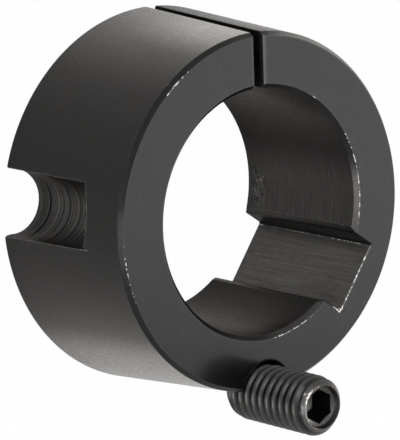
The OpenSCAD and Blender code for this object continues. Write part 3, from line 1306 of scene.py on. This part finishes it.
def cut_thread(piece, axis_y, material):
    modifier = piece.modifiers.new("thread", "NODES")
    modifier.node_group = cutter
    inputs = {item.name: item.identifier for item in cutter.interface.items_tree if item.in_out == "INPUT"}
    modifier[inputs["Axis"]] = (0.0, axis_y * MM, 0.0)
    modifier[inputs["Pitch"]] = PITCH * MM
    modifier[inputs["Start"]] = THREAD_START
    modifier[inputs["Crest Width"]] = CREST_WIDTH
    modifier[inputs["Material"]] = material
    graph = bpy.context.evaluated_depsgraph_get()
    mesh = bpy.data.meshes.new_from_object(piece.evaluated_get(graph), depsgraph=graph)
    piece.modifiers.remove(modifier)
    mesh.name = piece.name
    mesh.set_sharp_from_angle(angle=radians(SHARP_DEG))
    piece.data = mesh
    return mesh


cut_thread(bush, -hole_circle_r, finishes["tapped"])
cut_thread(screw, screw_y, screw_finish)
for piece in (bush, screw):
    print(piece.name, len(piece.data.polygons), "faces,", [slot.name for slot in piece.data.materials])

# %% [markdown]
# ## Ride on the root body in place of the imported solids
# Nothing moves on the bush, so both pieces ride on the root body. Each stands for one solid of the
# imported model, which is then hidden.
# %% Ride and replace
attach(bush, "root")
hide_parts("split_bush")
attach(screw, "root")
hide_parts("set_screw")

# %% [markdown]
# ## The floor
# The floor is a large pale sheet under the bush. Camera rays see it nearly white, and it keeps a
# trace of the bush's shadow. Rays off the oiled metal see a little of that white too.
# %% Floor
FLOOR_WHITE = 0.98
FLOOR_GLOSS = 0.1
FLOOR_HALF = 2.0


def flat_sheet(name, half):
    mesh = bpy.data.meshes.new(name)
    corners = [(-half, -half, 0.0), (half, -half, 0.0), (half, half, 0.0), (-half, half, 0.0)]
    mesh.from_pydata(corners, [], [(0, 1, 2, 3)])
    sheet = link_object(name, mesh)
    return sheet


def seen_directly(tree, camera_share=1.0, gloss_share=1.0):
    """Shares for rays that show the background: one from the camera, one off gloss or through glass."""
    rays = add_node(tree, "ShaderNodeLightPath")
    off_metal = calc("MAXIMUM", rays.outputs["Is Glossy Ray"], rays.outputs["Is Transmission Ray"])
    off_metal = calc("MULTIPLY", off_metal, gloss_share)
    from_camera = calc("MULTIPLY", rays.outputs["Is Camera Ray"], camera_share)
    return calc("MAXIMUM", from_camera, off_metal)


def pale_floor():
    material = bpy.data.materials.new("pale floor")
    material.use_nodes = True
    tree = material.node_tree
    tree.nodes.clear()
    paint = add_node(tree, "ShaderNodeBsdfDiffuse", values={"Color": grey(0.85)}).outputs[0]
    glow = add_node(tree, "ShaderNodeEmission", values={"Color": grey(1.0), "Strength": 1.0}).outputs[0]
    white = seen_directly(tree, FLOOR_WHITE, FLOOR_GLOSS)
    mix = add_node(tree, "ShaderNodeMixShader", values={0: white, 1: paint, 2: glow}).outputs[0]
    add_node(tree, "ShaderNodeOutputMaterial", values={"Surface": mix})
    return material


floor = flat_sheet("floor", FLOOR_HALF)
floor.data.materials.append(pale_floor())
print("floor:", floor.dimensions[:])

# %% [markdown]
# ## Surroundings and lamps
# The room is white to the camera and to gloss, and gives a weak even light. Three large soft lamps
# do the rest: one over the bush for the taper, one at the left for its lower half, and one at the
# right for the screw and the bore.
# %% Surroundings and lamps
ROOM_LIGHT = 0.2


def white_world():
    world = bpy.data.worlds.new("white room")
    bpy.context.scene.world = world
    world.use_nodes = True
    tree = world.node_tree
    tree.nodes.clear()
    strength = remap(seen_directly(tree), 0.0, 1.0, ROOM_LIGHT, 1.0)
    glow = add_node(tree, "ShaderNodeBackground", values={"Color": grey(1.0), "Strength": strength})
    add_node(tree, "ShaderNodeOutputWorld", values={"Surface": glow.outputs[0]})


def soft_lamp(name, place, target, wide, tall, glow):
    """An area lamp that shines at the target, with the glow of its face relative to white."""
    data = bpy.data.lights.new(name, "AREA")
    data.shape = "RECTANGLE"
    data.size = wide
    data.size_y = tall
    data.energy = glow * pi * wide * tall
    lamp = link_object(name, data)
    lamp.location = place
    lamp.rotation_euler = (Vector(target) - Vector(place)).to_track_quat("-Z", "Y").to_euler()
    return lamp


white_world()
middle = (0.0, 0.0, 0.016)
lamps = [
    soft_lamp("right lamp", (0.55, -0.1, 0.66), middle, 0.24, 0.5, 2.0),
    soft_lamp("top lamp", (-0.04, 0.2, 0.86), middle, 0.45, 0.8, 3.9),
    soft_lamp("left lamp", (-0.72, -0.16, 0.44), middle, 0.4, 0.5, 4.2),
]
for lamp in lamps:
    print(lamp.name, round(lamp.data.energy, 2), "W")

# %% [markdown]
# ## The camera
# The photograph was taken with a long lens from beside the small end, and turned so that the saw cut
# is at the top of the picture. The place and the three turns below were found by matching the
# rims, the bore and the half-holes. The picture is 400 pixels wide and 440 high.
# %% Camera
IMAGE_SIZE = (400, 440)
FOCAL_PIXELS = 3546.46
VIEW_TURNS = (3.2133, -0.7028, 0.0834)
BUSH_TURN_DEG = 12.0
VIEW_SHIFT_MM = (-8.8101, -5.2447, 661.6647)


def place_camera():
    turn_x, turn_y, turn_z = (Matrix.Rotation(angle, 3, axis) for angle, axis in zip(VIEW_TURNS, "XYZ"))
    to_view = turn_z @ turn_y @ turn_x @ Matrix.Rotation(radians(BUSH_TURN_DEG), 3, "Z")
    place = -(to_view.transposed() @ Vector(VIEW_SHIFT_MM)) * MM
    right, down, forward = to_view
    facing = Matrix((right, -down, -forward)).transposed().to_4x4()
    data = bpy.data.cameras.new("camera")
    data.sensor_width = 36.0
    data.lens = FOCAL_PIXELS * data.sensor_width / max(IMAGE_SIZE)
    data.clip_start = 0.01
    data.clip_end = 20.0
    camera = link_object("camera", data)
    camera.matrix_world = Matrix.Translation(place) @ facing
    bpy.context.scene.camera = camera
    return camera


camera = place_camera()
bpy.context.scene.view_settings.view_transform = "Standard"
print("camera at", [round(c, 4) for c in camera.location], "lens", round(camera.data.lens, 1), "mm")
